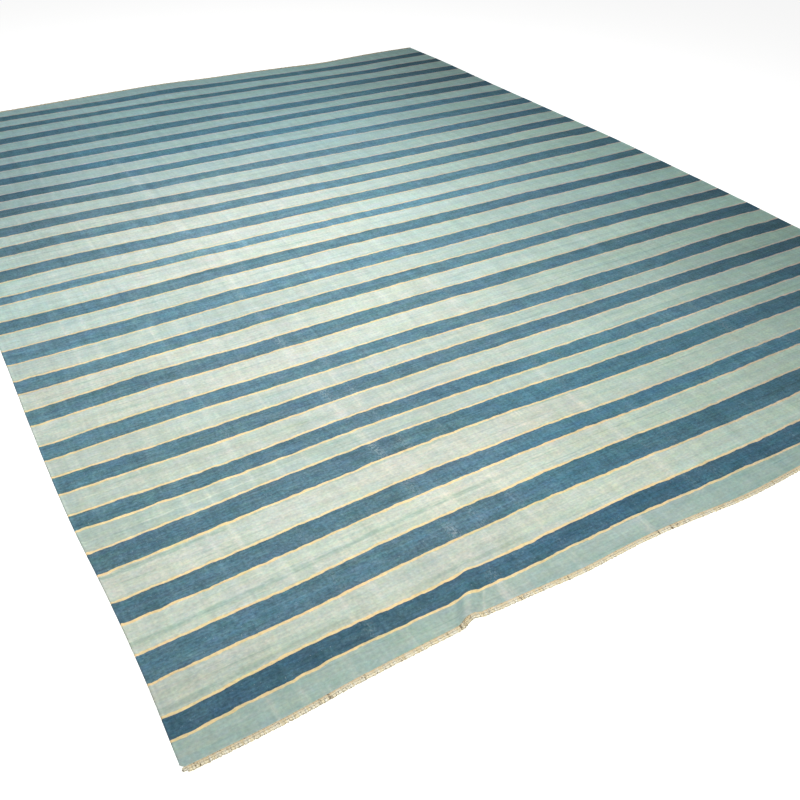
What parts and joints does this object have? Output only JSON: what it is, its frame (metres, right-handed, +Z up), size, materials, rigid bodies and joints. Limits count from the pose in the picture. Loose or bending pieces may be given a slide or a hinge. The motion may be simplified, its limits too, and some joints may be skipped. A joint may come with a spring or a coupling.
{
  "type": "dhurrie rug",
  "caption": "Large flat-woven cotton rug with blue and pale green weft stripes, plain woven sides, knotted warp ends and a small ruck at one end.",
  "frame": {"origin": "on the floor, under the middle of the rug's bounding box", "axes": "+X along the weft and the short side, +Y along the warp and the long side, away from the end with the ruck, +Z up out of the upper face"},
  "size_m": [3.678, 4.8822, 0.0217],
  "materials": {
    "weft_cotton": "flat-woven cotton, matt, in denim blue and pale aqua stripes with thin cream lines",
    "warp_cotton": "undyed cotton warp, matt cream"
  },
  "bodies": {
    "root": {"woven_field": "weft_cotton", "near_end_knots": "warp_cotton", "far_end_knots": "warp_cotton"}
  },
  "joints": []
}
